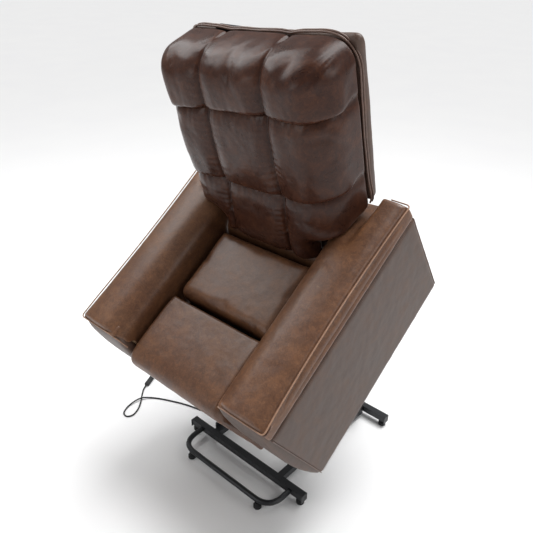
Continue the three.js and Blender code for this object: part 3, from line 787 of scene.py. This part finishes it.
def build_back():
    low, high = (-325, -122, -32), (325, 62, 688)
    points, faces = lattice_box(low, high, (76, 176, 16), (120, 6, 84), 10, 2.5)
    # The back cushion takes the darkened leather, painted shade for its downward-facing front.
    cushion = mesh_piece("back_cushion_cover", back(back_shape(points)), faces, SHADED_BACK_LEATHER)
    inflate(cushion, 11 * MM, 3.0)
    subdivide(cushion)
    frame_axes = (HINGE, BACK_REAR, BACK_UP)
    local = tuck(from_world(points_of(cushion), *frame_axes))
    wings = np.abs(local[:, 0]) > 240
    local[wings, 2] = np.maximum(local[wings, 2], wing_floor(local[wings, 1]) + 1)
    set_points(cushion, back(local))
    subdivide(cushion)
    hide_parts("back_cushion")
    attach(cushion, "backrest")
    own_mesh(cushion)
    angles = np.linspace(math.radians(-39.5), math.radians(219.5), 150)
    edge = outline(local, 400, angles, 56)
    away = edge - [0, 400]
    for k, (depth, tuck_in) in enumerate(((60.0, 1.0), (70.0, 0.5))):
        rim = edge + away / np.linalg.norm(away, axis=1, keepdims=True) * (0.6 - tuck_in)
        path = back(np.column_stack([rim[:, 0], np.full(len(rim), depth), rim[:, 1]]))
        hard(tube(f"back_piping_{k + 1}", even(path, 0.006), 3.3 * MM, DARK_PIPING), "backrest")
    build_back_rear()
    build_skirt()


SKIRT = [(556, 302), (561, 340), (574, 372), (598, 392), (622, 398)]


def build_skirt():
    """The leather behind the seat, from the frame up under the back."""
    line = catmull([(0, *p) for p in SKIRT], 8)[:, 1:]
    run = np.r_[0, np.cumsum(np.linalg.norm(np.diff(line, axis=0), axis=1))]
    points, faces = lattice_box((-231, 0, 0), (231, run[-1], 7), (4, 4, 2), (4, 4, 2), 8)
    x, u, v = points.T
    spot = np.column_stack([np.interp(u, run, line[:, k]) for k in (0, 1)])
    slope = np.column_stack([np.gradient(line[:, k], run) for k in (0, 1)])
    lean = np.column_stack([np.interp(u, run, slope[:, k]) for k in (0, 1)])
    spot += np.column_stack([-lean[:, 1], lean[:, 0]]) * v[:, None]
    skirt = mesh_piece("back_skirt", chair(np.column_stack([x, spot])), faces, LEATHER)
    wrinkle(skirt, 0.0009, 30.0, 41)
    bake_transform(skirt)


def build_back_rear():
    points, faces = lattice_box((-325, 67, 136), (325, 110, 680), (14, 6, 14), (14, 34, 44), 11)
    widen = np.interp(points[:, 2], [100, 300, 500, 695], [-8, 2, 11, 14])
    points[:, 0] *= 1 + widen / 325
    points[:, 2] = slant(points[:, 0], points[:, 2])
    upholster("back_rear_cover", back(points), faces, PANEL_LEATHER, "backrest",
              ("back_rear_shell",), cap=5, seed=3)
    tail, quads = lattice_box((-208, 99, -28), (208, 111, 226), (6, 4, 6), (6, 4, 6), 11)
    upholster("back_rear_flap", back(tail), quads, PANEL_LEATHER, "backrest", cap=2.5,
              seed=4)
    yoke = catmull([(-312, 113, 560), (0, 115.5, 556), (312, 113, 560)], 20)
    hard(tube("rear_yoke_welt", even(back(yoke), 0.007), 2.6 * MM, DARK_PIPING), "backrest")
    for side in (-1, 1):
        path = back([(side * 200, 112.2, -18), (side * 200, 112.2, 214)])
        stitches(f"rear_flap_stitch_{label_of(side)}", path, "backrest", DARK_PIPING)


# ---- seat and the pad that runs over its front edge on to the legrest --------------------------
PAD_OUTER = [(246, 408), (240, 416), (200, 420), (90, 424), (10, 421), (-26, 404), (-42, 370),
             (-42, 320), (-38, 200), (-34, 90), (-31, 26)]
PAD_INNER = [(246, 300), (236, 299), (200, 299), (70, 299), (40, 322), (26, 356), (4, 369),
             (-2, 330), (-2, 200), (-2, 90), (-3, 26)]


def build_seat():
    points, faces = lattice_box((-227, 253, 299), (227, 550, 402), (22, 32, 12), (22, 8, 34), 10)
    crown = 5 * np.cos(points[:, 0] / 224 * math.pi / 2) * smoothstep(points[:, 2], 340, 400)
    points[:, 2] += crown
    upholster("seat_cushion_cover", chair(points), faces, LEATHER, "chair_body", ("seat_cushion",),
              cap=9, seed=5)
    outer = catmull([(0, *p) for p in PAD_OUTER], 10)[:, 1:]
    inner = catmull([(0, *p) for p in PAD_INNER], 10)[:, 1:]
    run = np.r_[0, np.cumsum(np.linalg.norm(np.diff(outer, axis=0), axis=1))]
    length = run[-1]
    points, faces = lattice_box((-227, 0, 0), (227, length, 60), (20, 10, 8), (20, 18, 20), 9.5)
    x, u, v = points.T
    spread = np.column_stack([np.interp(u, run, outer[:, k]) for k in (0, 1)])
    under = np.column_stack([np.interp(u, run, inner[:, k]) for k in (0, 1)])
    spot = under + (spread - under) * (v / 60)[:, None]
    points = np.column_stack([x, spot])
    pad = upholster("seat_and_legrest_pad", chair(points), faces, LEATHER, None,
                    ("seat_front_pad", "legrest_pad"), cap=5.5, pressure=3.0, seed=6)
    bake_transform(pad)


# ---- arms -------------------------------------------------------------------------------------
ARM_IN, ARM_OUT, ARM_REAR, WELT_Z = 236.0, 440.0, 821.0, 494.0
ARM_DIP = ((600, 700, 744, 768, 792, 822), (510, 489, 474, 457, 436, 432))   # under the wings


def arm_lattice(side, x_span, y_span, z_span, radii, step):
    """radii: inner, outer, front, rear, bottom, top."""
    inner, outer, front, rear, bottom, top = radii
    a, b = x_span
    if side > 0:
        low, high, near, far = a, b, inner, outer
    else:
        low, high, near, far = -b, -a, outer, inner
    return lattice_box((low, y_span[0], z_span[0]), (high, y_span[1], z_span[1]),
                       (near, front, bottom), (far, rear, top), step)


def bow(y, x):
    """How far the stuffing lets the arm's outer top edge draw in at mid-length."""
    along = np.sin(np.clip(y / ARM_REAR, 0, 1) * math.pi) ** 0.8
    return 13 * along * smoothstep(np.abs(x), 330, 438)


def clear_handset(piece):
    """Keeps the stuffing off the way the handset is drawn up out of its pocket."""
    local = from_world(points_of(piece), CHAIR_ORIGIN, REAR, UP)
    limit = 439.4 + 8 * smoothstep(np.abs(local[:, 1] - 220), 38, 80)
    local[:, 0] = np.maximum(local[:, 0], -limit)
    set_points(piece, chair(local))


def build_arm(side):
    label = label_of(side)

    def named(name):
        return f"{label}_{name}"

    points, faces = arm_lattice(side, (234, 441), (-3, 821), (300, 503), (84, 9, 8, 12, 6, 60), 10)
    x, y, z = points.T
    reach = np.abs(x)
    crown = 8 * np.sin(np.clip((reach - 250) / 185, 0, 1) * math.pi) * smoothstep(z, 440, 503)
    lip = smoothstep(z, 470, 503) * smoothstep(reach, 404, 441) * 7
    inside = 1 - smoothstep(z, 418, 436)
    reach = reach - inside * np.maximum(0, reach - 404)
    y = np.maximum(y, 33 * inside - 3)
    under_wing = np.interp(y, *ARM_DIP)
    rear = smoothstep(y, 590, 640) * (1 - smoothstep(reach, 331, 349))
    z = z + crown - lip
    z = z + (np.minimum(z, under_wing) - z) * rear
    reach = reach - bow(y, reach) * smoothstep(z, 440, 480)
    shaped = np.column_stack([np.sign(x) * reach, y, z])
    cushion = upholster(named("arm_cushion"), chair(shaped), faces, LEATHER, "chair_body",
                        (f"{label}_arm_pad",), cap=4, seed=7 + side)
    if side < 0:
        clear_handset(cushion)
    points, faces = arm_lattice(side, (372, 439), (2, 820), (429, 491), (6, 26, 14, 22, 14, 30), 8)
    points[:, 0] -= side * bow(points[:, 1], points[:, 0]) * smoothstep(points[:, 2], 440, 488)
    upholster(named("arm_boxing_side"), chair(points), faces, LEATHER, "chair_body", cap=7,
              seed=11 + side)
    points, faces = arm_lattice(side, (256, 434), (-2, 40), (478, 489), (14, 14, 5, 6, 5, 5), 5)
    upholster(named("arm_boxing_front"), chair(points), faces, LEATHER, "chair_body", cap=2,
              seed=13 + side)
    outer, inner, front = side * (ARM_OUT + 1.5), side * ARM_IN, -2.5
    line = even(rounded_path([(inner, front, 418), (inner + side * 5, front, 458),
                              (inner + side * 26, front, 483),
                              (inner + side * 56, front, WELT_Z - 3),
                              (outer, front, WELT_Z - 3), (outer, 90, WELT_Z),
                              (outer, ARM_REAR - 1, WELT_Z), (outer - side * 70, ARM_REAR, WELT_Z)],
                             14, 8), 5)
    line[:, 0] -= side * bow(line[:, 1], line[:, 0])
    hard(tube(named("arm_welt"), even(chair(line), 0.006), 2.3 * MM, TAN_PIPING), "chair_body")
    line = rounded_path([(inner + side * 14, front + 1, 462),
                         (inner + side * 34, front + 0.5, 476),
                         (outer - side, front + 0.5, 478), (outer - side, 34, 479)], 11, 8)
    hard(tube(named("arm_front_welt"), even(chair(line), 0.006), 2.3 * MM, DARK_PIPING),
         "chair_body")
    build_arm_panels(side, named, label)


def lean_in(points):
    """The arm's front edge runs back towards its foot."""
    y = points[:, 1]
    back_by = 20 * (1 - np.clip(points[:, 2] / 428, 0, 1))
    points[:, 1] = y + back_by * (1 - smoothstep(y, 0, 500))
    return points


def build_arm_panels(side, named, label):
    points, faces = arm_lattice(side, (415, 438.5), (3, 820), (3, 427), (4, 7, 5, 7, 7, 5), 12)
    upholster(named("arm_outer_cover"), chair(lean_in(points)), faces, PANEL_LEATHER,
              "chair_body", (f"{label}_arm_panel",), cap=2.2, pressure=2.0,
              wrinkles=0.0007, seed=17 + side)
    points, faces = arm_lattice(side, (236, 431), (0.5, 24), (5, 477), (40, 6, 8, 3, 8, 30), 8)
    belly = np.sin(np.clip(points[:, 2] / 474, 0, 1) * math.pi) ** 0.7
    points[:, 1] -= 28 * belly * smoothstep(24 - points[:, 1], 0, 18)
    upholster(named("arm_front_cover"), chair(lean_in(points)), faces, PANEL_LEATHER, "chair_body",
              cap=2.5, pressure=2.0, seed=19 + side)
    points, faces = arm_lattice(side, (233.6, 236.4), (24, 818), (60, 340),
                                (1.2, 1, 3, 3, 3, 3), 14)
    inner = mesh_piece(named("arm_inner_cover"), chair(points), faces, LEATHER)
    wrinkle(inner, 0.0007, 20.0, 23 + side)
    hard(inner, "chair_body", slot="leather")
    points, faces = arm_lattice(side, (238, 438), (818.2, 822.5), (6, 427), (4, 4, 1, 2, 5, 5), 12)
    rear = mesh_piece(named("arm_rear_cover"), chair(points), faces, PANEL_LEATHER)
    wrinkle(rear, 0.0006, 20.0, 29 + side)
    hard(rear, "chair_body", slot="panel_leather")
    points, faces = arm_lattice(side, (237, 436), (26, 820), (29, 32), (1, 1, 1, 1, 1, 1), 24)
    hard(mesh_piece(named("arm_dust_cover"), chair(points), faces, LINING), "chair_body")
    for k, (x, y, z) in enumerate(((439.9, 12, 424.6), (440.8, 32, 9))):
        path = chair([(side * x, y, z), (side * x, 816, z)])
        stitches(named(f"arm_panel_stitch_{k + 1}"), path, "chair_body", DARK_PIPING)
    welt = chair(even([(side * 437.5, 2.2, 425), (side * 437.5, 22.6, 8)], 8))
    hard(tube(named("arm_corner_seam"), welt, 1.5 * MM, DARK_PIPING), "chair_body")


def build_deck():
    """Black lining over the seat springs, which closes the gaps between the cushions."""
    points, faces = lattice_box((-221, 34, 290), (221, 553, 293.5), (2, 2, 1), (2, 2, 1), 18)
    deck = mesh_piece("seat_deck_cloth", chair(points), faces, LINING)
    wrinkle(deck, 0.0012, 14.0, 37)
    hard(deck, "chair_body")


def build_rear_panel():
    points, faces = lattice_box((-226, 806, 62), (226, 817, 298), (4, 3, 4), (4, 4, 4), 11)
    upholster("rear_panel_cover", chair(points), faces, PANEL_LEATHER, "chair_body",
              ("rear_panel",), cap=2, seed=31)
    for k, z in enumerate((72, 288)):
        stitches(f"rear_panel_stitch_{k + 1}", chair([(-216, 819, z), (216, 819, z)]), "chair_body",
                 DARK_PIPING)


def build_pocket():
    """The handset's pocket on the outside of the sitter's right arm."""
    points, faces = lattice_box((-456.2, 187, 223), (-454.6, 253, 311), (0.7, 3, 3), (0.7, 3, 3), 6)
    points[:, 0] -= 0.7 * np.cos((points[:, 1] - 220) / 33 * math.pi / 2)
    outer = mesh_piece("side_pocket_pouch", chair(points), faces, PANEL_LEATHER)
    hard(outer, "chair_body", "side_pocket", slot="panel_leather")
    for k, (y0, y1) in enumerate(((186.5, 190.5), (249.5, 253.5))):
        points, faces = lattice_box((-456, y0, 224), (-440.6, y1, 311), (1, 1.6, 3), (1, 1.6, 3), 4)
        hard(mesh_piece(f"side_pocket_cheek_{k + 1}", chair(points), faces, PANEL_LEATHER),
             "chair_body")
    points, faces = lattice_box((-456, 188, 223), (-440.6, 252, 230), (2, 2, 2), (1, 2, 1), 4)
    hard(mesh_piece("side_pocket_bottom", chair(points), faces, PANEL_LEATHER), "chair_body")
    rim = chair(even([(-457.2, 188, 310), (-457.6, 220, 310), (-457.2, 252, 310)], 5))
    hard(tube("side_pocket_binding", rim, 1.3 * MM, DARK_PIPING), "chair_body")


# ---- metalwork and small fittings -------------------------------------------------------------


def hex_bolt(name, at, outward, body, size=8.0, head=5.0):
    """A hexagon head with a washer, its axis along x; at is in world metres, sizes in mm."""
    washer = 1.4

    def ring(along, radius, corners, turned=0.0):
        return [(outward * along, radius * math.cos(a), radius * math.sin(a))
                for a in np.arange(corners) * 2 * math.pi / corners + turned]

    points = ring(0, size * 1.25, 24) + ring(washer, size * 1.25, 24)
    faces = [[k, (k + 1) % 24, 24 + (k + 1) % 24, 24 + k] for k in range(24)]
    faces += [list(range(24)), list(range(24, 48))]
    base = len(points)
    for along, radius in ((washer, size), (head, size), (head + 0.8, size * 0.82)):
        points += ring(along, radius, 6, 0.2)
    for i in range(2):
        p, q = base + 6 * i, base + 6 * i + 6
        faces += [[p + k, p + (k + 1) % 6, q + (k + 1) % 6, q + k] for k in range(6)]
    faces.append(list(range(base + 12, base + 18)))
    world = np.array(points) * MM + np.array(at)
    return hard(mesh_piece(name, world, faces, ZINC, smooth=False), body)


def outer_x(node, side):
    low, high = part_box(node)
    return high[0] if side > 0 else low[0]


def build_fittings():
    """Caps in the ends of the crossbars, and the bolts of the recline hinge."""
    for bar_node, y in (("front_crossbar", -19), ("rear_crossbar", 560)):
        for side in (-1, 1):
            points, faces = lattice_box((-1.2, y + 1, 18), (2.2, y + 37, 54), (0.5, 3, 3),
                                        (1.2, 3, 3), 3)
            world = floor(points * [side, 1, 1]) + np.array([outer_x(bar_node, side), 0, 0])
            quads = faces if side > 0 else [f[::-1] for f in faces]
            cap = mesh_piece(f"{bar_node}_cap_{label_of(side)}", world, quads, BLACK_PLASTIC)
            hard(cap, "base")
    for side in (-1, 1):
        label = label_of(side)
        at = chair([(0, HINGE_Y, HINGE_Z)])[0]
        at[0] = outer_x(f"{label}_side_plate", side)
        hex_bolt(f"{label}_recline_bolt", at, side, "chair_body", 7, 4)


build_back()
build_seat()
for arm_side in (1, -1):
    build_arm(arm_side)
build_deck()
build_rear_panel()
build_pocket()
build_fittings()

# ---- floor and light --------------------------------------------------------------------------


def stage():
    """A pale floor, four soft boxes and a wide, soft daylight from above."""
    s = Shader("pale_floor")
    tone = s.ramp(s.noise(1.5, 2.0), [(0.3, (0.885, 0.885, 0.89)), (0.7, (0.90, 0.90, 0.90))])
    s.finish(tone, 0.8)
    reach = 60.0
    corners = [(-reach, -reach, 0), (reach, -reach, 0), (reach, reach, 0), (-reach, reach, 0)]
    ground = mesh_piece("studio_floor", corners, [[0, 1, 2, 3]], s.material, smooth=False)
    world = bpy.data.worlds.new("studio")
    world.use_nodes = True
    sky = world.node_tree.nodes["Background"]
    sky.inputs["Color"].default_value = (1, 1, 1, 1)
    sky.inputs["Strength"].default_value = 0.31
    bpy.context.scene.world = world
    for name, at, aim, size, power in (
            ("key_softbox", (-1.9, -0.4, 3.3), (0, 0, 0.8), 1.9, 48),
            ("rear_softbox", (0.6, 1.8, 3.2), (0, 0, 0.9), 1.6, 45),
            ("side_softbox", (3.0, 0.4, 2.6), (0, 0, 0.9), 1.4, 20),
            ("front_fill", (-1.2, -3.4, 2.0), (0, 0, 0.9), 1.6, 16)):
        data = bpy.data.lights.new(name, "AREA")
        data.shape, data.size, data.energy = "SQUARE", size, power
        lamp = bpy.data.objects.new(name, data)
        lamp.location = at
        lamp.rotation_euler = (Vector(aim) - Vector(at)).to_track_quat("-Z", "Y").to_euler()
        bpy.context.scene.collection.objects.link(lamp)
    sun = bpy.data.lights.new("overhead_daylight", "SUN")
    sun.energy, sun.angle = 2.15, math.radians(34)
    lamp = bpy.data.objects.new("overhead_daylight", sun)
    lamp.rotation_euler = (math.radians(-14), math.radians(4), 0)
    bpy.context.scene.collection.objects.link(lamp)


stage()
bpy.context.scene.view_settings.view_transform = "Standard"
